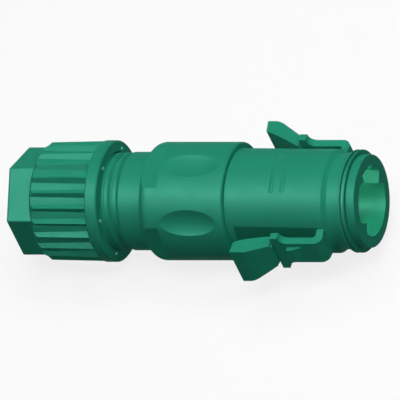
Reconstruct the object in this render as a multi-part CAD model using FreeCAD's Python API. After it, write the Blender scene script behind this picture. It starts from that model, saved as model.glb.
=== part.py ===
import FreeCAD, Part
import math
import os
from FreeCAD import Vector

# Circular power connector for a cable: five recessed pins, two snap latches and a cable gland.
# Lengths are in millimetres. X is the axis of the connector and points out of its mating end,
# Z is up, and the latches lie on both sides along Y. The origin is on the axis, in the plane
# of the mating face, so every station behind it has a negative X.

# Nose and mouth, where the mating half goes on
nose_radius = 18.0
nose_length = 3.4
nose_edge_round = 0.3
mouth_radius = 13.5
mouth_depth = 24.0
seal_seat_depth = 1.1
seal_length = 2.75
seal_body_radius = 18.6
lip_radius = 19.9
lip_width = 0.8
front_neck_radius = 18.6
front_neck_length = 5.25
taper_length = 1.8

# Coding keys in the mouth: corner radius from the axis, direction of the corner and of
# the middle of the key, and the angle that its two faces enclose, in degrees from +Y to +Z
key_length = 9.0
coding_keys = (
    (9.7, -7.0, -7.4, 90.0),
    (10.4, 84.0, 108.0, 66.0),
    (9.75, 187.0, 177.5, 92.0),
)

# Front sleeve
sleeve_radius = 20.4
sleeve_length = 40.0
sleeve_draft = 0.4
latch_flat_height = 18.65
latch_flat_setback = 2.9
groove_width = 1.9
groove_depth = 0.45
groove_pitch = 4.5
groove_setback = 15.25
groove_spread = 58.0
spigot_radius = 18.4
spigot_length = 9.0
insert_bore_radius = 15.6
insert_bore_depth = 45.0
spigot_seal_setback = 4.4
spigot_seal_groove_width = 1.9
spigot_seal_groove_depth = 1.4

# Rear body
body_radius = 22.8
body_length = 31.5
shoulder_round = 4.5
body_edge_round = 0.8
collar_radius = 18.95
collar_length = 8.95
wrench_size = 41.3
wrench_length = 8.4
grip_length = 23.2
grip_cut_radius = 12.0
grip_depth = 1.9
grip_setback = 14.9
grip_angles = (90.0, 150.0, 270.0, 330.0)
socket_allowance = 0.5
cavity_radius = 16.4
cavity_length = 21.3
funnel_length = 4.5
tail_length = 26.3
tail_bore_radius = 14.2
thread_depth = 1.65

# Gland nut
nut_across_flats = 36.3
hex_length = 9.1
hex_edge_round = 1.0
nut_shoulder_length = 3.45
nut_shoulder_bow = 0.45
skirt_radius = 21.4
rib_count = 24
rib_height = 1.85
rib_base = 3.3
rib_draft = 0.45
rib_length = 21.5
flange_radius = 23.4
flange_length = 4.9
nut_edge_round = 0.5
pip_count = 6
pip_radius = 0.8
pip_height = 0.7
pip_circle_radius = 20.4
nut_exposed_thread = 7.45
nut_thread_length = 9.5
cable_hole_radius = 11.0
cable_hole_flare = 1.6
nut_mouth_bevel = 0.2

# Cable clamp inside the gland
cage_seat_radius = 15.6
cage_seat_depth = 6.0
cage_bore_radius = 12.4
cage_flange_radius = 17.0
cage_flange_length = 1.5
cage_stop_radius = 10.6
cage_stop_length = 1.5
finger_count = 12
finger_length = 6.0
finger_slot = 1.0
finger_root_radius = 15.4
ring_setback = 3.4
ring_length = 5.0
ring_front_radius = 16.0
ring_cone_angle = 31.8
nut_take_up = 1.0
seal_bore_radius = 8.5
cable_seal_length = 11.5
cable_seal_bevel = 1.0

# Contact insert
insert_flange_length = 4.0
insert_flange_radius = 15.5
insert_rear_radius = 14.6
insert_rear_length = 21.0
lock_ring_length = 2.5
lock_ring_notch = 3.0
pole_count = 5
pole_circle_radius = 7.5
first_pole_angle = 90.0
earth_pole = 4
pin_radius = 1.75
pin_recess = 11.5
earth_pin_lead = 1.5
pin_tip_round = 0.8
barrel_radius = 3.2
barrel_length = 14.0
wire_bore_radius = 1.7
wire_bore_depth = 11.0
screw_radius = 1.5
screw_tip_radius = 9.2
screw_head_radius = 13.9
screw_setback = 4.0
screw_slot_width = 0.5
screw_slot_depth = 0.8

# Snap latches
latch_arm_inner = 22.15
latch_arm_outer = 25.25
latch_arm_half_width = 5.75
latch_root_half_width = 6.5
latch_root_front = 13.1
latch_root_thickness = 3.0
latch_bend_radius = 3.2
latch_inner_bend = 1.4
catch_half_width = 3.6
catch_height = 1.6
catch_crest = 2.2
catch_undercut = 0.3
catch_front = 21.9
catch_rear = 27.9
bar_front = 30.4
bar_rear = 33.4
bar_inner = 22.55
bar_outer = 25.4
bar_half_width = 9.1
wing_neck_half_width = 5.0
wing_front = 34.2
wing_front_half_width = 6.0
wing_shoulder = 45.0
wing_half_width = 9.1
wing_flare = 0.2
wing_tip = 48.4
wing_tip_rake = 0.5
wing_rise_front = 35.0
wing_root_inner = 22.1
wing_root_outer = 26.3
wing_tip_inner = 26.9
wing_tip_outer = 31.8
wing_crest_front = 41.0
wing_crest_outer = 30.6
wing_crest_rise = 0.35

# Clearances between pieces
slide_gap = 0.05
loose_gap = 0.1
face_gap = 0.05
finger_gap = 0.3

# Stations along the axis, each from the lengths in front of it
seal_front = -nose_length
seal_rear = seal_front - seal_length
neck_rear = seal_rear - front_neck_length
sleeve_front = neck_rear - taper_length
sleeve_rear = sleeve_front - sleeve_length
spigot_rear = sleeve_rear - spigot_length
body_shoulder = sleeve_rear - body_length
body_drop = body_radius - shoulder_round
collar_front = body_shoulder - math.sqrt(shoulder_round ** 2 - (collar_radius - body_drop) ** 2)
collar_rear = collar_front - collar_length
tail_rear = collar_rear - tail_length
socket_rear = spigot_rear - socket_allowance
cavity_rear = socket_rear - cavity_length
funnel_rear = cavity_rear - funnel_length
cage_front = tail_rear + cage_seat_depth
cage_flange_rear = tail_rear - cage_flange_length
finger_rear = cage_flange_rear - finger_length
cage_stop_rear = cage_front - cage_stop_length
nut_front = collar_rear - nut_exposed_thread
flange_rear = nut_front - flange_length
rib_rear = flange_rear - rib_length
hex_front = rib_rear - nut_shoulder_length
nut_rear = hex_front - hex_length
thread_root_radius = collar_radius - thread_depth
insert_flange_rear = -insert_bore_depth - insert_flange_length
insert_rear = insert_flange_rear - insert_rear_length
barrel_front = insert_rear + barrel_length
screw_station = insert_rear + screw_setback

# The ring's cone stays clear of the fingers until the nut has been taken up
ring_slope = math.tan(math.radians(ring_cone_angle))
finger_drop = nut_take_up * ring_slope + finger_gap
ring_front = cage_flange_rear - ring_setback
ring_rear = ring_front - ring_length
ring_rear_radius = ring_front_radius - ring_length * ring_slope
nut_pilot_radius = thread_root_radius + slide_gap
ring_outer_radius = nut_pilot_radius - loose_gap
nut_seat = ring_rear - face_gap
nut_pilot_front = nut_front - nut_thread_length
nut_thread_bore = collar_radius + slide_gap

AXIS = Vector(1, 0, 0)
ORIGIN = Vector(0, 0, 0)


def outline_wire(outline, lift):
    """Closed wire through an outline; an entry made of two points is an arc, given by a
    point that it passes and its end."""
    start = lift(outline[0])
    here = start
    edges = []
    for step in outline[1:]:
        if isinstance(step[0], tuple):
            end = lift(step[1])
            edges.append(Part.Arc(here, lift(step[0]), end).toShape())
        else:
            end = lift(step)
            edges.append(Part.makeLine(here, end))
        here = end
    if here.distanceToPoint(start) > 1e-6:
        edges.append(Part.makeLine(here, start))
    return Part.Wire(edges)


def turned(outline):
    """Solid turned about the axis from a closed outline of (x, radius) points."""
    wire = outline_wire(outline, lambda point: Vector(point[0], point[1], 0))
    return Part.Face(wire).revolve(ORIGIN, AXIS, 360)


def tube(x_from, x_to, inner, outer):
    """Plain ring about the axis."""
    return turned([(x_from, inner), (x_from, outer), (x_to, outer), (x_to, inner)])


def rod(x_from, x_to, radius, y=0.0, z=0.0):
    """Plain rod along the axis, or beside it at y and z."""
    return Part.makeCylinder(radius, x_to - x_from, Vector(x_from, y, z), AXIS)


def about_axis(shape, angle):
    """Copy of a shape that is turned about the axis; +Y goes towards +Z."""
    copy = shape.copy()
    copy.rotate(ORIGIN, AXIS, angle)
    return copy


def direction(angle):
    """Unit vector across the axis, at an angle from +Y towards +Z."""
    return Vector(0, math.cos(math.radians(angle)), math.sin(math.radians(angle)))


def quarter(corner_x, corner_r, radius, toward_x, toward_r):
    """Arc that rounds a corner, from its vertical side to its level side, as two points.
    toward_x and toward_r are 1 or -1 and say on which side of the corner the centre lies."""
    centre_x = corner_x + toward_x * radius
    centre_r = corner_r + toward_r * radius
    half = radius * math.sqrt(0.5)
    return ((centre_x - toward_x * half, centre_r - toward_r * half), (centre_x, corner_r))


def barrel_surface(x):
    """Radius of the barrel at a station; it is full at the rear and drafted to the front."""
    return sleeve_radius - sleeve_draft * (x - sleeve_rear) / sleeve_length


def sleeve_blank():
    """Front sleeve as it is turned: nose, seal seat, neck, barrel and the spigot behind it."""
    seal_floor = nose_radius - seal_seat_depth
    groove_front = sleeve_rear - spigot_seal_setback + spigot_seal_groove_width / 2
    groove_rear = groove_front - spigot_seal_groove_width
    groove_floor = spigot_radius - spigot_seal_groove_depth
    nose_top = quarter(0, nose_radius, nose_edge_round, -1, -1)
    return turned([
        (0, mouth_radius),
        (0, nose_radius - nose_edge_round),
        nose_top,
        (seal_front, nose_radius),
        (seal_front, seal_floor),
        (seal_rear, seal_floor),
        (seal_rear, front_neck_radius),
        (neck_rear, front_neck_radius),
        (sleeve_front, barrel_surface(sleeve_front)),
        (sleeve_rear, sleeve_radius),
        (sleeve_rear, spigot_radius),
        (groove_front, spigot_radius),
        (groove_front, groove_floor),
        (groove_rear, groove_floor),
        (groove_rear, spigot_radius),
        (spigot_rear, spigot_radius),
        (spigot_rear, insert_bore_radius),
        (-insert_bore_depth, insert_bore_radius),
        (-insert_bore_depth, mouth_radius),
    ])


def coding_key(corner_radius, corner_angle, middle_angle, opening):
    """Corner block that fills a segment of the mouth, flush with the mating face."""
    corner = direction(corner_angle) * corner_radius
    reach = 2 * mouth_radius
    corners = [corner]
    for side in (-1, 1):
        corners.append(corner + direction(middle_angle + side * opening / 2) * reach)
    corners.append(corners[0])
    block = Part.Face(Part.makePolygon(corners)).extrude(Vector(-key_length, 0, 0))
    wall = (mouth_radius + nose_radius - seal_seat_depth) / 2
    return block.common(rod(-key_length, 0, wall))


def sleeve_flat():
    """Box that planes the barrel under one latch, out to the latch's foot."""
    front = -latch_root_front + loose_gap
    rear = sleeve_rear + latch_flat_setback
    return Part.makeBox(front - rear, sleeve_radius, 2 * sleeve_radius,
                        Vector(rear, latch_flat_height, -sleeve_radius))


def latch_pivot():
    """Centre of the round foot on which a latch bends, on its side of the sleeve."""
    return (-latch_root_front - latch_root_thickness / 2, latch_flat_height)


def foot_seat():
    """Trough in the sleeve that takes the round foot of one latch."""
    x, y = latch_pivot()
    half = latch_root_half_width + loose_gap
    radius = latch_root_thickness / 2 + loose_gap
    return Part.makeCylinder(radius, 2 * half, Vector(x, y, -half), Vector(0, 0, 1))


def grip_groove(station):
    """Scooped groove round a part of the top of the barrel, with round ends, as the path of a
    ball: its radius follows from the groove's width and depth."""
    ball = (groove_width ** 2 / 4 + groove_depth ** 2) / (2 * groove_depth)
    surface = barrel_surface(station)
    path = surface - groove_depth + ball
    half = groove_spread / 2 - math.degrees(groove_width / 2 / surface)
    start = direction(90 - half) * path + AXIS * station
    disc = Part.makeCircle(ball, start, direction(180 - half))
    scoop = Part.Face(Part.Wire(disc)).revolve(ORIGIN, AXIS, 2 * half)
    for side in (-1, 1):
        end = direction(90 + side * half) * path + AXIS * station
        scoop = scoop.fuse(Part.makeSphere(ball, end))
    return scoop


def make_front_sleeve():
    """Front sleeve with its coding keys, latch flats, latch seats and grip grooves."""
    sleeve = sleeve_blank()
    for key in coding_keys:
        sleeve = sleeve.fuse(coding_key(*key))
    for side in (0, 180):
        sleeve = sleeve.cut(about_axis(sleeve_flat(), side))
        sleeve = sleeve.cut(about_axis(foot_seat(), side))
        for row in (0, 1):
            station = sleeve_front - groove_setback - groove_width / 2 - row * groove_pitch
            sleeve = sleeve.cut(about_axis(grip_groove(station), side))
    return sleeve.removeSplitter()


def make_nose_seal():
    """Rubber ring in the seat behind the nose, with two lips that seal in the mating half."""
    floor = nose_radius - seal_seat_depth + slide_gap
    front = seal_front - slide_gap
    rear = seal_rear + slide_gap
    half = lip_width / 2
    shoulder = lip_radius - half
    return turned([
        (front, floor),
        (front, shoulder),
        ((front - half, lip_radius), (front - lip_width, shoulder)),
        (front - lip_width, seal_body_radius),
        (rear + lip_width, seal_body_radius),
        (rear + lip_width, shoulder),
        ((rear + half, lip_radius), (rear, shoulder)),
        (rear, floor),
    ])


def make_body_seal():
    """O-ring on the spigot, between the sleeve and the rear body."""
    floor = spigot_radius - spigot_seal_groove_depth
    socket = spigot_radius + slide_gap
    section = (socket - floor) / 2 - slide_gap / 4
    seal = Part.makeTorus((socket + floor) / 2, section, ORIGIN, AXIS)
    seal.translate(Vector(sleeve_rear - spigot_seal_setback, 0, 0))
    return seal


def grip_dent():
    """Spindle that cuts one oval thumb dent into the top of the rear body."""
    middle = sleeve_rear - grip_setback
    centre = body_radius - grip_depth + grip_cut_radius
    end_radius = grip_cut_radius - grip_depth
    half = grip_length / 2
    outline = [
        (-half, 0),
        (-half, end_radius),
        ((0, grip_cut_radius), (half, end_radius)),
        (half, 0),
    ]
    dent = turned(outline)
    dent.translate(Vector(middle, centre, 0))
    return dent


def make_rear_body():
    """Rear body: grip, wrench flats, collar, tail for the nut and the room for the wires."""
    half = shoulder_round * math.sqrt(0.5)
    over_shoulder = (body_shoulder - half, body_drop + half)
    body = turned([
        (sleeve_rear, spigot_radius + slide_gap),
        (sleeve_rear, body_radius - body_edge_round),
        quarter(sleeve_rear, body_radius, body_edge_round, -1, -1),
        (body_shoulder, body_radius),
        (over_shoulder, (collar_front, collar_radius)),
        (collar_rear, collar_radius),
        (collar_rear, thread_root_radius),
        (tail_rear, thread_root_radius),
        (tail_rear, cage_seat_radius),
        (cage_front, cage_seat_radius),
        (cage_front, tail_bore_radius),
        (funnel_rear, tail_bore_radius),
        (cavity_rear, cavity_radius),
        (socket_rear, cavity_radius),
        (socket_rear, spigot_radius + slide_gap),
    ])
    for angle in range(0, 360, 90):
        plane = Part.makeBox(wrench_length, body_radius, 2 * body_radius,
                             Vector(collar_front, wrench_size / 2, -body_radius))
        body = body.cut(about_axis(plane, angle))
    for angle in grip_angles:
        body = body.cut(about_axis(grip_dent(), angle))
    return body.removeSplitter()


def rib():
    """One roof-shaped grip rib of the nut, on the side of +Y, from inside the flange to the
    shoulder; its crest drops a little towards the rear, as the mould needs."""
    front = flange_rear + nut_edge_round
    length = front - hex_front
    root = skirt_radius - rib_draft
    crest = skirt_radius + rib_height
    half = rib_base / 2 * (crest - root) / rib_height
    section = [Vector(front, root, -half), Vector(front, crest, 0), Vector(front, root, half)]
    section.append(section[0])
    drop = rib_draft * length / rib_length
    return Part.Face(Part.makePolygon(section)).extrude(Vector(-length, -drop, 0))


def nut_shoulder():
    """Solid that bounds the ribs: it rises from the hexagon's flats in a rounded shoulder and
    runs on along their crests into the flange."""
    front = flange_rear + nut_edge_round
    start = (hex_front, nut_across_flats / 2)
    end = (rib_rear, skirt_radius + rib_height - rib_draft)
    return turned([
        (hex_front, 0),
        start,
        bowed(start, end, -nut_shoulder_bow),
        (flange_rear, end[1] + rib_draft),
        (front, flange_radius),
        (front, 0),
    ])


def make_gland_nut():
    """Gland nut: hexagon, ribbed skirt and flange in one moulding, bored for the cable."""
    corner_radius = nut_across_flats / math.sqrt(3)
    flange = turned([
        (flange_rear, 0),
        (flange_rear, flange_radius - nut_edge_round),
        (flange_rear + nut_edge_round, flange_radius),
        (nut_front - nut_edge_round, flange_radius),
        (nut_front, flange_radius - nut_edge_round),
        (nut_front, 0),
    ])
    corners = [direction(30 + 60 * k) * corner_radius for k in range(6)]
    corners.append(corners[0])
    prism_length = hex_length + nut_shoulder_length
    prism = Part.Face(Part.makePolygon(corners)).extrude(Vector(prism_length, 0, 0))
    prism.translate(Vector(nut_rear, 0, 0))
    rounded = [edge for edge in prism.Edges if edge.BoundBox.XMin < nut_rear + hex_edge_round]
    prism = prism.makeFillet(hex_edge_round, rounded)
    ribs = [about_axis(rib(), 360 / rib_count * k) for k in range(rib_count)]
    skirt = rod(hex_front, flange_rear, skirt_radius).fuse(ribs).common(nut_shoulder())
    nut = flange.fuse([skirt, prism])
    for k in range(pip_count):
        centre = direction(30 + 360 / pip_count * k) * pip_circle_radius
        centre.x = nut_front + pip_height - pip_radius
        nut = nut.fuse(Part.makeSphere(pip_radius, centre))
    bore = turned([
        (nut_rear, 0),
        (nut_rear, cable_hole_radius + cable_hole_flare),
        quarter_flare(),
        (nut_seat, cable_hole_radius),
        (nut_seat, nut_pilot_radius),
        (nut_pilot_front, nut_pilot_radius),
        (nut_pilot_front, nut_thread_bore),
        (nut_front - nut_mouth_bevel, nut_thread_bore),
        (nut_front, nut_thread_bore + nut_mouth_bevel),
        (nut_front + pip_radius, nut_thread_bore + nut_mouth_bevel),
        (nut_front + pip_radius, 0),
    ])
    return nut.cut(bore).removeSplitter()


def quarter_flare():
    """Rounded lip of the cable hole, as the arc from its rear face into the hole."""
    flare = cable_hole_flare
    half = flare * math.sqrt(0.5)
    centre = (nut_rear + flare, cable_hole_radius + flare)
    return ((centre[0] - half, centre[1] - half), (centre[0], cable_hole_radius))


def make_pressure_ring():
    """Slip ring that the nut pushes along, with the cone that closes the clamp fingers."""
    return turned([
        (ring_rear, ring_rear_radius),
        (ring_rear, ring_outer_radius),
        (ring_front, ring_outer_radius),
        (ring_front, ring_front_radius),
    ])


def make_clamp_cage():
    """Clamp cage: a bush in the tail, a flange on its rim and a crown of spring fingers."""
    bush = cage_seat_radius - slide_gap
    tip_radius = ring_front_radius - finger_drop - (ring_front - finger_rear) * ring_slope
    bend = ring_front - (ring_front_radius - finger_drop - finger_root_radius) / ring_slope
    cage = turned([
        (cage_front, cage_stop_radius),
        (cage_front, bush),
        (tail_rear, bush),
        (tail_rear, cage_flange_radius),
        (cage_flange_rear, cage_flange_radius),
        (cage_flange_rear, finger_root_radius),
        (bend, finger_root_radius),
        (finger_rear, tip_radius),
        (finger_rear, cage_bore_radius),
        (cage_stop_rear, cage_bore_radius),
        (cage_stop_rear, cage_stop_radius),
    ])
    for k in range(finger_count // 2):
        slot = Part.makeBox(finger_length + 1, 4 * body_radius, finger_slot,
                            Vector(finger_rear - 1, -2 * body_radius, -finger_slot / 2))
        cage = cage.cut(about_axis(slot, 360 / finger_count * k))
    return cage


def make_cable_seal():
    """Rubber bush that closes round the cable inside the clamp cage."""
    outer = cage_bore_radius - slide_gap
    rear = cage_stop_rear - cable_seal_length
    return turned([
        (cage_stop_rear, seal_bore_radius),
        (cage_stop_rear, outer),
        (rear + cable_seal_bevel, outer),
        (rear, outer - cable_seal_bevel),
        (rear, seal_bore_radius),
    ])


def pole(k):
    """Place of one pole as y and z."""
    spot = direction(first_pole_angle + 360 / pole_count * k) * pole_circle_radius
    return spot.y, spot.z


def pole_screw_hole(k, radius, inner, outer):
    """Radial hole or rod of one clamp screw."""
    out = direction(first_pole_angle + 360 / pole_count * k)
    return Part.makeCylinder(radius, outer - inner, Vector(screw_station, 0, 0) + out * inner, out)


def make_contact_carrier():
    """Moulded insert that holds the pins at their places and takes the clamp screws."""
    front_radius = mouth_radius - loose_gap
    carrier = turned([
        (-mouth_depth, 0),
        (-mouth_depth, front_radius),
        (-insert_bore_depth, front_radius),
        (-insert_bore_depth, insert_flange_radius),
        (insert_flange_rear, insert_flange_radius),
        (insert_flange_rear, insert_rear_radius),
        (insert_rear, insert_rear_radius),
        (insert_rear, 0),
    ])
    for k in range(pole_count):
        y, z = pole(k)
        carrier = carrier.cut(rod(insert_rear, -mouth_depth, pin_radius + slide_gap, y, z))
        carrier = carrier.cut(rod(insert_rear, barrel_front, barrel_radius + slide_gap, y, z))
        carrier = carrier.cut(pole_screw_hole(k, screw_radius + loose_gap, pole_circle_radius,
                                              2 * insert_rear_radius))
    return carrier


def make_lock_ring():
    """Ring that is screwed in behind the insert's flange, with two spanner notches."""
    ring = tube(insert_flange_rear - lock_ring_length, insert_flange_rear,
                insert_rear_radius + loose_gap, insert_bore_radius - slide_gap)
    notch = Part.makeBox(lock_ring_length / 2, 4 * insert_bore_radius, lock_ring_notch,
                         Vector(insert_flange_rear - lock_ring_length, -2 * insert_bore_radius,
                                -lock_ring_notch / 2))
    return ring.cut(notch)


def make_contact(k):
    """Turned pin with its screw terminal; the earth pin reaches further out."""
    y, z = pole(k)
    tip = -pin_recess + (earth_pin_lead if k == earth_pole else 0)
    rounding = quarter(tip, pin_radius, pin_tip_round, -1, -1)
    contact = turned([
        (tip, 0),
        (tip, pin_radius - pin_tip_round),
        rounding,
        (barrel_front, pin_radius),
        (barrel_front, barrel_radius),
        (insert_rear, barrel_radius),
        (insert_rear, wire_bore_radius),
        (insert_rear + wire_bore_depth, wire_bore_radius),
        (insert_rear + wire_bore_depth, 0),
    ])
    contact.translate(Vector(0, y, z))
    return contact.cut(pole_screw_hole(k, screw_radius + slide_gap, pole_circle_radius,
                                       2 * insert_rear_radius))


def make_clamp_screw(k):
    """Slotted set screw that clamps one wire."""
    screw = pole_screw_hole(k, screw_radius, screw_tip_radius, screw_head_radius)
    slot = Part.makeBox(4 * screw_radius, screw_slot_depth + 1, screw_slot_width,
                        Vector(screw_station - 2 * screw_radius,
                               screw_head_radius - screw_slot_depth, -screw_slot_width / 2))
    return screw.cut(about_axis(slot, first_pole_angle + 360 / pole_count * k))


def bowed(start, end, bulge):
    """Arc between two points that bows out sideways by a bulge, as two points; a positive
    bulge lies on the right of the way from start to end."""
    along_x = end[0] - start[0]
    along_y = end[1] - start[1]
    length = math.hypot(along_x, along_y)
    middle = ((start[0] + end[0]) / 2 + bulge * along_y / length,
              (start[1] + end[1]) / 2 - bulge * along_x / length)
    return (middle, end)


def latch_side():
    """Side view of a latch on the +Y side, as (x, y) points: the foot, the bend, the arm,
    the cross bar and the wing."""
    foot_x, foot_y = latch_pivot()
    web_front = -latch_root_front
    web_rear = web_front - latch_root_thickness
    in_bend, bend_end = quarter(web_rear, latch_arm_inner, latch_inner_bend, -1, -1)
    crest_front = (-wing_crest_front, wing_crest_outer)
    crest_rear = (-wing_shoulder, wing_tip_outer)
    return [
        (web_front, foot_y),
        (web_front, latch_arm_outer - latch_bend_radius),
        quarter(web_front, latch_arm_outer, latch_bend_radius, -1, -1),
        (-bar_front, latch_arm_outer),
        (-bar_front, bar_outer),
        (-bar_rear, bar_outer),
        (-bar_rear, wing_root_outer),
        crest_front,
        bowed(crest_front, crest_rear, wing_crest_rise),
        (-wing_tip, wing_tip_outer),
        (-wing_tip + wing_tip_rake, wing_tip_inner),
        (-wing_rise_front, wing_root_inner),
        (-bar_rear, wing_root_inner),
        (-bar_rear, bar_inner),
        (-bar_front, bar_inner),
        (-bar_front, latch_arm_inner),
        bend_end,
        (in_bend, (web_rear, latch_arm_inner - latch_inner_bend)),
        (web_rear, foot_y),
        ((foot_x, foot_y - latch_root_thickness / 2), (web_front, foot_y)),
    ]


def latch_plan():
    """Half of the outline of a latch seen from outside, as (x, z) points: from the root along
    the edge of the arm, which runs into the cross bar in a fillet, round the short neck
    behind the bar and along the wing to the middle of the tip."""
    web_rear = -latch_root_front - latch_root_thickness
    overhang = bar_half_width - latch_arm_half_width
    fillet_x = -bar_front + overhang
    half = overhang * math.sqrt(0.5)
    wing_corner = (-wing_front, wing_front_half_width)
    shoulder = (-wing_shoulder, wing_half_width)
    return [
        (web_rear, 0),
        (web_rear, latch_arm_half_width),
        (fillet_x, latch_arm_half_width),
        ((fillet_x - half, bar_half_width - half), (-bar_front, bar_half_width)),
        (-bar_rear, bar_half_width),
        (-bar_rear, wing_neck_half_width),
        (-wing_front, wing_neck_half_width),
        wing_corner,
        bowed(wing_corner, shoulder, wing_flare),
        (-wing_tip, wing_half_width),
        (-wing_tip, 0),
    ]


def latch_root(low, high):
    """Block that holds the root of a latch; it widens from the arm down to the flat."""
    section = [
        Vector(-latch_root_front, low, 0),
        Vector(-latch_root_front, low, latch_root_half_width),
        Vector(-latch_root_front, latch_flat_height, latch_root_half_width),
        Vector(-latch_root_front, latch_arm_inner, latch_arm_half_width),
        Vector(-latch_root_front, high, latch_arm_half_width),
        Vector(-latch_root_front, high, 0),
    ]
    section.append(section[0])
    return Part.Face(Part.makePolygon(section)).extrude(Vector(-latch_root_thickness, 0, 0))


def make_latch(side):
    """Snap latch: flexible arm with a catch, a cross bar and a wing to press."""
    low = latch_flat_height - latch_root_thickness
    high = wing_tip_outer + 1
    reach = bar_half_width + 1
    profile = outline_wire(latch_side(), lambda point: Vector(point[0], point[1], -reach))
    body = Part.Face(profile).extrude(Vector(0, 0, 2 * reach))
    plan = outline_wire(latch_plan(), lambda point: Vector(point[0], low, point[1]))
    half = Part.Face(plan).extrude(Vector(0, high - low, 0)).fuse(latch_root(low, high))
    latch = body.common(half.fuse(half.mirror(ORIGIN, Vector(0, 0, 1))))
    sunk = latch_arm_outer - catch_undercut
    top = latch_arm_outer + catch_height
    ramp = [
        (-catch_front, sunk),
        (-catch_front, latch_arm_outer),
        (-catch_rear + catch_crest, top),
        (-catch_rear, top),
        (-catch_rear + catch_undercut, sunk),
    ]
    section = outline_wire(ramp, lambda point: Vector(point[0], point[1], -catch_half_width))
    catch = Part.Face(section).extrude(Vector(0, 0, 2 * catch_half_width))
    return about_axis(latch.fuse(catch).removeSplitter(), side)


nodes = {
    "front_sleeve": make_front_sleeve(),
    "nose_seal": make_nose_seal(),
    "body_seal": make_body_seal(),
    "rear_body": make_rear_body(),
    "gland_nut": make_gland_nut(),
    "pressure_ring": make_pressure_ring(),
    "clamp_cage": make_clamp_cage(),
    "cable_seal": make_cable_seal(),
    "contact_carrier": make_contact_carrier(),
    "lock_ring": make_lock_ring(),
    "latch_left": make_latch(0),
    "latch_right": make_latch(180),
}
for number in range(pole_count):
    nodes["contact_" + str(number + 1)] = make_contact(number)
    nodes["clamp_screw_" + str(number + 1)] = make_clamp_screw(number)

os.makedirs("parts", exist_ok=True)
for name, shape in nodes.items():
    solid = shape.Solids[0] if len(shape.Solids) == 1 else shape
    print(name, "solids", len(shape.Solids), "valid", shape.isValid(), round(shape.Volume, 1))
    solid.exportStep("parts/" + name + ".step")
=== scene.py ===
import math

import bmesh
import bpy
from mathutils import Matrix, Vector


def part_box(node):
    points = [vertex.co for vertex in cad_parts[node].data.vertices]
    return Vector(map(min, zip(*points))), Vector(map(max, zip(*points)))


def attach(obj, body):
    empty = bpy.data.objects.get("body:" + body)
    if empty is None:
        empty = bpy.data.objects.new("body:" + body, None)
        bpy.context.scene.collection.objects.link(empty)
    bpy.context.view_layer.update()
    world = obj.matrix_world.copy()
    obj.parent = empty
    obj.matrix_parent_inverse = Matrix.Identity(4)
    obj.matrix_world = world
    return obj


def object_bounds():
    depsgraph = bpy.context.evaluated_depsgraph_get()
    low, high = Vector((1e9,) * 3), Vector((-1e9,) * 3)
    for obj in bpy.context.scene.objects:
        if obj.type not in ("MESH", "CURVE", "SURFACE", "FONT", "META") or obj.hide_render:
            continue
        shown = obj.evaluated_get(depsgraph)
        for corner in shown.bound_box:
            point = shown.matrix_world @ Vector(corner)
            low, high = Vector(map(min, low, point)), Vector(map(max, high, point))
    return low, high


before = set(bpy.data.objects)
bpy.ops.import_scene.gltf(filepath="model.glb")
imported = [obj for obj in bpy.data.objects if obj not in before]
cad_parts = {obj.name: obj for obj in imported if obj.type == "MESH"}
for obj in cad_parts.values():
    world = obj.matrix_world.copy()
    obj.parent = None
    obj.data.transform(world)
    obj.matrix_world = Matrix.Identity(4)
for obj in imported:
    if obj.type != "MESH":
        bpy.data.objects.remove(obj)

cad_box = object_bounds()


# Front sleeve: one injection moulding in teal polyamide that carries the mouth with its coding
# keys, the two latch flats and the finger grooves. The tool's surface is lightly spark-eroded,
# which gives a fine, even, half-dull skin.
def hex_colour(code):
    """sRGB hex digits as a linear colour with alpha 1."""
    channels = []
    for start in (0, 2, 4):
        value = int(code[start:start + 2], 16) / 255
        channels.append(value / 12.92 if value <= 0.04045 else ((value + 0.055) / 1.055) ** 2.4)
    return (*channels, 1.0)


def per_mm(size):
    """Texture scale that gives features of this size in millimetres."""
    return 1000 / size


def add_node(owner, kind, settings=None, **links):
    """Adds a node to a material or world, sets its values and properties, and links its inputs.
    A key of settings is a property's or an input's name; a link is a node's output socket."""
    node = owner.node_tree.nodes.new(kind)
    for key, value in (settings or {}).items():
        if key in node.inputs:
            node.inputs[key].default_value = value
        else:
            setattr(node, key, value)
    for key, socket in links.items():
        owner.node_tree.links.new(socket, node.inputs[key.replace("_", " ")])
    return node


def new_material(name):
    """Empty node material and its object coordinates, which are metres in the row frame."""
    material = bpy.data.materials.new(name)
    material.use_nodes = True
    material.node_tree.nodes.clear()
    return material, add_node(material, "ShaderNodeTexCoord").outputs["Object"]


def blend_colours(material, factor, first, second):
    """Two colours mixed by a texture's value; each is hex digits or a node's output. Of the
    node's sockets, inputs 6 and 7 and output 2 are the ones for colours."""
    mix = add_node(material, "ShaderNodeMix", {"data_type": "RGBA"})
    for socket, colour in ((mix.inputs[6], first), (mix.inputs[7], second)):
        if isinstance(colour, str):
            socket.default_value = hex_colour(colour)
        else:
            material.node_tree.links.new(colour, socket)
    material.node_tree.links.new(factor, mix.inputs[0])
    return mix.outputs[2]


def finish_material(material, shader):
    """Joins the shader to the material's output."""
    add_node(material, "ShaderNodeOutputMaterial", Surface=shader.outputs["BSDF"])
    return material


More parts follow.
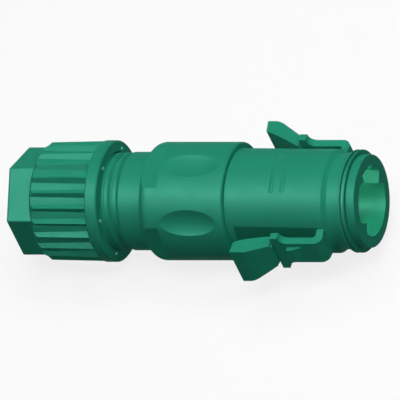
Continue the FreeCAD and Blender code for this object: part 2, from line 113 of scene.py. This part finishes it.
def moulded_polyamide(name, deep, light, sheen, overpaint=None):
    """Polyamide from an eroded mould tool: flow clouds a few millimetres wide in the colour,
    patches that differ a little in gloss, and a fine grain in relief. Its IOR is matched to the
    object, below the 1.53 of solid polyamide: the eroded skin hardly shines at a low angle.
    Where marks is given, it is a function that paints over a part of the colour."""
    material, place = new_material(name)
    clouds = add_node(material, "ShaderNodeTexNoise",
                      {"Scale": per_mm(9), "Detail": 3, "Roughness": 0.55}, Vector=place)
    patches = add_node(material, "ShaderNodeTexNoise",
                       {"Scale": per_mm(3.5), "Detail": 2, "Roughness": 0.5}, Vector=place)
    # The real grain is about 0.1 mm; it is drawn at 0.3 mm so that it shows at all.
    grain = add_node(material, "ShaderNodeTexNoise",
                     {"Scale": per_mm(0.3), "Detail": 2, "Roughness": 0.6}, Vector=place)
    gloss = add_node(material, "ShaderNodeMapRange",
                     {"From Min": 0.3, "From Max": 0.7, "To Min": 0.5, "To Max": 0.58},
                     Value=patches.outputs["Fac"])
    relief = add_node(material, "ShaderNodeBump", {"Strength": 0.18, "Distance": 0.00004},
                      Height=grain.outputs["Fac"])
    colour = blend_colours(material, clouds.outputs["Fac"], deep, light)
    if overpaint:
        colour = overpaint(material, place, colour)
    shader = add_node(material, "ShaderNodeBsdfPrincipled",
                      {"IOR": 1.3, "Specular IOR Level": 0.025, "Specular Tint": hex_colour(sheen)},
                      Base_Color=colour, Roughness=gloss.outputs["Result"],
                      Normal=relief.outputs["Normal"])
    return finish_material(material, shader)


def dress(node, material):
    """Gives a solid of the frame its material in every slot."""
    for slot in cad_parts[node].material_slots:
        slot.material = material


teal_deep = "228A6E"
teal_light = "269174"
teal_sheen = "7FFFE1"
teal_polyamide = moulded_polyamide("moulded_teal_polyamide", teal_deep, teal_light, teal_sheen)
dress("front_sleeve", teal_polyamide)


# Snap latches: moulded with the sleeve in the same polyamide, so they have the same skin; the real
# latches flex at their root.
for latch in ("latch_left", "latch_right"):
    dress(latch, teal_polyamide)


# Nose seal: ring of coloured silicone rubber with two lips, moulded and stretched into its seat.
# Rubber is duller than the plastic beside it and takes a little dust.
def moulded_rubber(name, deep, light, dullness, sheen):
    """Rubber from a smooth mould: dull, with faint dust clouds and no grain."""
    material, place = new_material(name)
    dust = add_node(material, "ShaderNodeTexNoise",
                    {"Scale": per_mm(2.5), "Detail": 4, "Roughness": 0.6}, Vector=place)
    gloss = add_node(material, "ShaderNodeMapRange",
                     {"From Min": 0.3, "From Max": 0.7, "To Min": dullness - 0.05,
                      "To Max": dullness + 0.08}, Value=dust.outputs["Fac"])
    relief = add_node(material, "ShaderNodeBump", {"Strength": 0.1, "Distance": 0.00003},
                      Height=dust.outputs["Fac"])
    shader = add_node(material, "ShaderNodeBsdfPrincipled",
                      {"IOR": 1.43, "Specular IOR Level": 0.04, "Specular Tint": hex_colour(sheen)},
                      Base_Color=blend_colours(material, dust.outputs["Fac"], deep, light),
                      Roughness=gloss.outputs["Result"], Normal=relief.outputs["Normal"])
    return finish_material(material, shader)


teal_silicone = moulded_rubber("moulded_teal_silicone", "1F8067", "24886D", 0.6, teal_sheen)
dress("nose_seal", teal_silicone)


# Rear body: grip with thumb dents and wrench flats, in the same polyamide. Its tail carries the
# gland's thread, moulded on as a ridge with slanted flanks and a flat crest, which fades in and
# out at its two ends.
dress("rear_body", teal_polyamide)

# The ridge starts at thread_front, at thread_start round from +Y, and winds to the rear. Its foot
# is sunk into the tail a little, and its fade at each end is a share of one turn.
thread_root = 0.0173
thread_crest = 0.0187
thread_pitch = 0.0035
thread_base_width = 0.0031
thread_crest_width = 0.0015
thread_edge_round = 0.00015
thread_sharp_angle = math.radians(40)
thread_front = -0.0992
thread_turns = 3.65
thread_steps = 72
thread_fade = 0.15
thread_start = math.radians(200)
thread_sunk = 0.0001


def thread_ridge():
    """Ridge wound round the tail as a right-hand screw; its height fades over its ends."""
    mesh = bmesh.new()
    rings = []
    count = int(thread_turns * thread_steps)
    depth = thread_crest - thread_root
    front_half = [
        (thread_base_width / 2, 0),
        (thread_crest_width / 2 + thread_edge_round / 2, depth - thread_edge_round),
        (thread_crest_width / 2 - thread_edge_round / 2, depth),
    ]
    section = front_half + [(-beside, rise) for beside, rise in reversed(front_half)]
    for step in range(count + 1):
        along = step / count
        turn = step / thread_steps
        to_nearer_end = min(along, 1 - along) * thread_turns
        height = min(1, to_nearer_end / thread_fade)
        angle = thread_start - 2 * math.pi * turn
        ring = []
        for beside, rise in section:
            x = thread_front - turn * thread_pitch + beside
            radius = thread_root - thread_sunk + (rise + thread_sunk) * height
            ring.append(mesh.verts.new((x, radius * math.cos(angle), radius * math.sin(angle))))
        rings.append(ring)
    for before, after in zip(rings, rings[1:]):
        for corner in range(len(section)):
            following = (corner + 1) % len(section)
            mesh.faces.new((before[corner], before[following], after[following], after[corner]))
    mesh.faces.new(list(reversed(rings[0])))
    mesh.faces.new(rings[-1])
    bmesh.ops.recalc_face_normals(mesh, faces=mesh.faces)
    data = bpy.data.meshes.new("gland_thread")
    mesh.to_mesh(data)
    mesh.free()
    data.shade_smooth()
    data.set_sharp_from_angle(angle=thread_sharp_angle)
    ridge = bpy.data.objects.new("gland_thread", data)
    bpy.context.collection.objects.link(ridge)
    return ridge


gland_thread = thread_ridge()
gland_thread.data.materials.append(teal_polyamide)
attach(gland_thread, "shell")


# Body seal: black nitrile O-ring between the sleeve's spigot and the rear body, pressed in a
# smooth mould and stretched into its groove.
black_rubber = moulded_rubber("moulded_black_nitrile", "17191A", "222426", 0.6, "FFFFFF")
dress("body_seal", black_rubber)


# Gland nut: hexagon and ribbed skirt in one moulding of the same polyamide. The six pips stand
# proud of the flange's front face; a pale colour on them is a painted highlight.
# Pale colour painted on the pips stands in for their highlight.
pip_highlight_paint = "66B59C"
pip_height = 0.0007
bare_pip_foot = 0.0001
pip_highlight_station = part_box("gland_nut")[1].x - pip_height + bare_pip_foot


def painted_pips(material, place, ground):
    """Painted highlight: pale colour over the ground colour on what stands proud of the flange's
    face.
    """
    parts = add_node(material, "ShaderNodeSeparateXYZ", Vector=place)
    ahead = add_node(material, "ShaderNodeMath", {"operation": "GREATER_THAN"},
                     Value=parts.outputs["X"])
    ahead.inputs[1].default_value = pip_highlight_station
    return blend_colours(material, ahead.outputs["Value"], ground, pip_highlight_paint)


# This polyamide carries the pips' painted highlight.
pip_highlight_polyamide = moulded_polyamide("teal_polyamide_pip_highlight", teal_deep, teal_light, teal_sheen,
                                     painted_pips)
dress("gland_nut", pip_highlight_polyamide)


# Cable clamp: acetal cage and pressure ring, moulded in its natural milky white, which is
# smooth and a little waxy; the cable seal in the cage is the same rubber as the body's.
def moulded_acetal(name, deep, light):
    """Acetal from a polished tool: waxy gloss, with faint flow clouds."""
    material, place = new_material(name)
    clouds = add_node(material, "ShaderNodeTexNoise",
                      {"Scale": per_mm(6), "Detail": 3, "Roughness": 0.5}, Vector=place)
    gloss = add_node(material, "ShaderNodeMapRange",
                     {"From Min": 0.3, "From Max": 0.7, "To Min": 0.28, "To Max": 0.36},
                     Value=clouds.outputs["Fac"])
    shader = add_node(material, "ShaderNodeBsdfPrincipled", {"IOR": 1.48},
                      Base_Color=blend_colours(material, clouds.outputs["Fac"], deep, light),
                      Roughness=gloss.outputs["Result"])
    return finish_material(material, shader)


white_acetal = moulded_acetal("moulded_white_acetal", "C2C4BE", "D2D3CE")
dress("clamp_cage", white_acetal)
dress("pressure_ring", white_acetal)
dress("cable_seal", black_rubber)


# Contact insert: carrier and lock ring in dark glass-filled polyester, whose short fibres show
# as fine pale flecks in the skin.
def glass_filled_polyester(name, ground, fleck):
    """Polyester with glass fibres: dark skin with fine flecks and a dull gloss."""
    material, place = new_material(name)
    # Fibres are about 0.3 mm long and 0.01 mm thick; the flecks are drawn as wide as 0.15 mm.
    fibres = add_node(material, "ShaderNodeTexNoise",
                      {"Scale": per_mm(0.4), "Detail": 3, "Roughness": 0.7}, Vector=place)
    flecks = add_node(material, "ShaderNodeMapRange",
                      {"From Min": 0.5, "From Max": 0.85, "To Min": 0.0, "To Max": 1.0},
                      Value=fibres.outputs["Fac"])
    relief = add_node(material, "ShaderNodeBump", {"Strength": 0.15, "Distance": 0.00003},
                      Height=fibres.outputs["Fac"])
    shader = add_node(material, "ShaderNodeBsdfPrincipled", {"IOR": 1.57, "Roughness": 0.45},
                      Base_Color=blend_colours(material, flecks.outputs["Result"], ground, fleck),
                      Normal=relief.outputs["Normal"])
    return finish_material(material, shader)


dark_polyester = glass_filled_polyester("moulded_glass_filled_polyester", "232628", "3A3E40")
dress("contact_carrier", dark_polyester)
dress("lock_ring", dark_polyester)


# Contacts: brass pins turned on a lathe and silver plated, so fine rings run round them; each
# wire is held by a slotted steel screw with a bright zinc coat.
def turned_silver_plate(name, deep, light):
    """Silver over turned brass: fine tool rings along the axis, a little tarnish."""
    material, place = new_material(name)
    # The tool's rings are about 0.1 mm apart; they are drawn at 2.2 mm so that they show at all.
    # At scale 1 a wave texture repeats after 2 pi / 20 of a unit.
    rings = add_node(material, "ShaderNodeTexWave",
                     {"bands_direction": "X", "Scale": per_mm(2.2) * 2 * math.pi / 20,
                      "Distortion": 0.4, "Detail": 1}, Vector=place)
    tarnish = add_node(material, "ShaderNodeTexNoise",
                       {"Scale": per_mm(4), "Detail": 4, "Roughness": 0.6}, Vector=place)
    gloss = add_node(material, "ShaderNodeMapRange",
                     {"From Min": 0.3, "From Max": 0.7, "To Min": 0.16, "To Max": 0.28},
                     Value=tarnish.outputs["Fac"])
    relief = add_node(material, "ShaderNodeBump", {"Strength": 0.1, "Distance": 0.00001},
                      Height=rings.outputs["Fac"])
    shader = add_node(material, "ShaderNodeBsdfPrincipled", {"Metallic": 1.0},
                      Base_Color=blend_colours(material, tarnish.outputs["Fac"], deep, light),
                      Roughness=gloss.outputs["Result"], Normal=relief.outputs["Normal"])
    return finish_material(material, shader)


def zinc_plated_steel(name, deep, light):
    """Bright zinc over steel: cool and slightly cloudy."""
    material, place = new_material(name)
    bloom = add_node(material, "ShaderNodeTexNoise",
                     {"Scale": per_mm(0.8), "Detail": 4, "Roughness": 0.6}, Vector=place)
    gloss = add_node(material, "ShaderNodeMapRange",
                     {"From Min": 0.3, "From Max": 0.7, "To Min": 0.25, "To Max": 0.4},
                     Value=bloom.outputs["Fac"])
    shader = add_node(material, "ShaderNodeBsdfPrincipled", {"Metallic": 1.0},
                      Base_Color=blend_colours(material, bloom.outputs["Fac"], deep, light),
                      Roughness=gloss.outputs["Result"])
    return finish_material(material, shader)


silver_plate = turned_silver_plate("silver_plated_turned_brass", "BDB6A4", "DCD8CC")
zinc_plate = zinc_plated_steel("zinc_plated_steel", "A3A8AC", "C2C6C9")
for pole in range(1, 6):
    dress("contact_" + str(pole), silver_plate)
    dress("clamp_screw_" + str(pole), zinc_plate)


# Studio: a pale sweep under the connector, with softboxes above it, beside the camera, at the
# mating end and along the rim. The sweep and the air are plain white where the camera, gloss or
# glass looks at them, and throw back less light, so that the connector's underside stays dark.
connector_middle = Vector((-0.0717, 0, 0))
floor_gap = 0.00001
floor_height = cad_box[0].z - floor_gap
floor_size = 3.0
floor_colour = "FAFAFA"
bounce_colour = "6A6C6A"
white_share = 0.8
white = hex_colour("FFFFFF")


def seen_directly(owner):
    """1 for camera, gloss and transmission rays and 0 for light that bounces."""
    path = add_node(owner, "ShaderNodeLightPath")
    total = path.outputs["Is Camera Ray"]
    for kind in ("Is Glossy Ray", "Is Transmission Ray"):
        either = add_node(owner, "ShaderNodeMath", {"operation": "MAXIMUM"})
        owner.node_tree.links.new(total, either.inputs[0])
        owner.node_tree.links.new(path.outputs[kind], either.inputs[1])
        total = either.outputs[0]
    return total


def mix_shaders(owner, factor, first, second):
    """Two shader nodes mixed by a factor."""
    mix = add_node(owner, "ShaderNodeMixShader")
    sources = (factor, first.outputs[0], second.outputs[0])
    for source, socket in zip(sources, mix.inputs):
        owner.node_tree.links.new(source, socket)
    return mix.outputs[0]


floor_middle = (connector_middle.x, 0, floor_height)
bpy.ops.mesh.primitive_plane_add(size=floor_size, location=floor_middle)
sweep = bpy.context.object
sweep.name = "studio_floor"
pale_paper = new_material("pale_backdrop_paper")[0]
seen = seen_directly(pale_paper)
paper = add_node(pale_paper, "ShaderNodeBsdfDiffuse",
                 Color=blend_colours(pale_paper, seen, bounce_colour, floor_colour))
glow = add_node(pale_paper, "ShaderNodeEmission", {"Color": white, "Strength": 1.0})
share = add_node(pale_paper, "ShaderNodeMath", {"operation": "MULTIPLY"}, Value=seen)
share.inputs[1].default_value = white_share
add_node(pale_paper, "ShaderNodeOutputMaterial",
         Surface=mix_shaders(pale_paper, share.outputs[0], paper, glow))
sweep.data.materials.append(pale_paper)

air_colour = "F2F4F5"
air_strength = 0.145
air = bpy.data.worlds.new("studio_air")
air.use_nodes = True
air.node_tree.nodes.clear()
dim_air = add_node(air, "ShaderNodeBackground",
                   {"Color": hex_colour(air_colour), "Strength": air_strength})
white_air = add_node(air, "ShaderNodeBackground", {"Color": white, "Strength": 1.0})
add_node(air, "ShaderNodeOutputWorld",
         Surface=mix_shaders(air, seen_directly(air), dim_air, white_air))
bpy.context.scene.world = air


def softbox(name, direction, distance, width, height, power):
    """Area lamp that looks at the middle of the connector from a direction."""
    lamp = bpy.data.lights.new(name, "AREA")
    lamp.shape = "RECTANGLE"
    lamp.size = width
    lamp.size_y = height
    lamp.energy = power
    stand = bpy.data.objects.new(name, lamp)
    away = Vector(direction).normalized()
    stand.location = connector_middle + away * distance
    stand.rotation_mode = "QUATERNION"
    stand.rotation_quaternion = (-away).to_track_quat("-Z", "Y")
    bpy.context.collection.objects.link(stand)
    return stand


softbox("overhead_softbox", (0.0, 0.385, 0.925), distance=1.1, width=0.6, height=0.4, power=3.65)
softbox("mouth_softbox", (0.6, 0.034, 0.799), distance=1.2, width=0.4, height=0.4, power=2.5)
front = softbox("front_softbox", (0.22, -0.295, 0.93), distance=1.2, width=0.5, height=0.4,
                power=5.75)
rim = softbox("rim_softbox", (-0.387, -0.37, 0.845), distance=1.2, width=0.3, height=0.2,
              power=720)
# The rim's softbox shows in the gloss alone.
rim.visible_diffuse = False
# Without their shadows the inside of the mouth is lit like the outside.
for lamp in (front, rim):
    lamp.data.use_shadow = False


# Camera: long lens from the mating end's side and above, so far off that the picture has no
# perspective; the axis lies level across it, a little below the middle.
picture_width = 0.1538
picture_lift = 0.0004
camera_distance = 1.0
view_back = Vector((0.387, -0.562, 0.730)).normalized()
picture_top = Vector((0, 0.792, 0.610))
view_right = picture_top.cross(view_back).normalized()
view_up = view_back.cross(view_right)
lens = bpy.data.cameras.new("studio_camera")
lens.type = "ORTHO"
lens.ortho_scale = picture_width
lens.clip_end = 10 * camera_distance
camera = bpy.data.objects.new("studio_camera", lens)
stand = connector_middle + view_up * picture_lift + view_back * camera_distance
turn = Matrix((view_right, view_up, view_back)).transposed().to_4x4()
camera.matrix_world = Matrix.Translation(stand) @ turn
bpy.context.collection.objects.link(camera)
bpy.context.scene.camera = camera

bpy.context.scene.view_settings.view_transform = "Standard"
